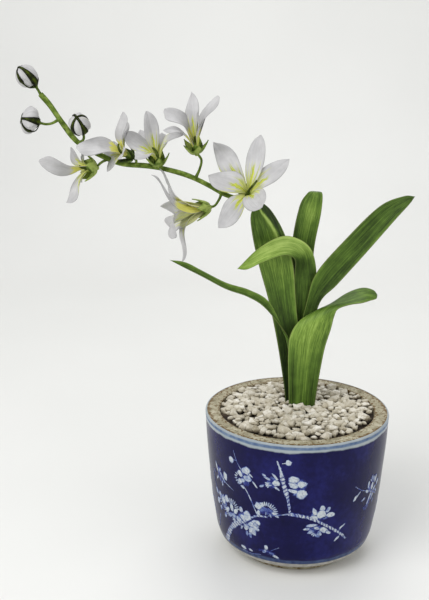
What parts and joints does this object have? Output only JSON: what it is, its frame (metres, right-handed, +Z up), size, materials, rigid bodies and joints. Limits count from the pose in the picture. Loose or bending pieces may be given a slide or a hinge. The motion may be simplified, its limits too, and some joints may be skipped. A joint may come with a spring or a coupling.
{
  "type": "potted freesia",
  "caption": "Freesia with white blooms on an arching stem and sword-shaped leaves, in a round blue-and-white glazed pot topped with gravel.",
  "frame": {"origin": "centre of the pot's flat base, on the surface that it stands on", "axes": "+Z up along the pot's axis, -X the way the flower stem arches, -Y towards the front leaf"},
  "size_m": [0.2499, 0.125, 0.329],
  "materials": {
    "blue_glaze": "gloss",
    "soil": "rough",
    "gravel": "matte",
    "leaf_green": "satin",
    "stem_green": "satin",
    "petal_white": "satin"
  },
  "bodies": {
    "root": {"pot": "blue_glaze", "soil": "soil", "gravel": "gravel", "leaf_1": "leaf_green", "leaf_2": "leaf_green", "leaf_3": "leaf_green", "leaf_4": "leaf_green", "leaf_5": "leaf_green", "leaf_6": "leaf_green", "stem": "stem_green", "flower_1": "petal_white", "flower_2": "petal_white", "flower_3": "petal_white", "flower_4": "petal_white", "flower_5": "petal_white", "flower_6": "petal_white", "bud_1": "petal_white", "bud_2": "petal_white", "bud_3": "petal_white"}
  },
  "joints": []
}
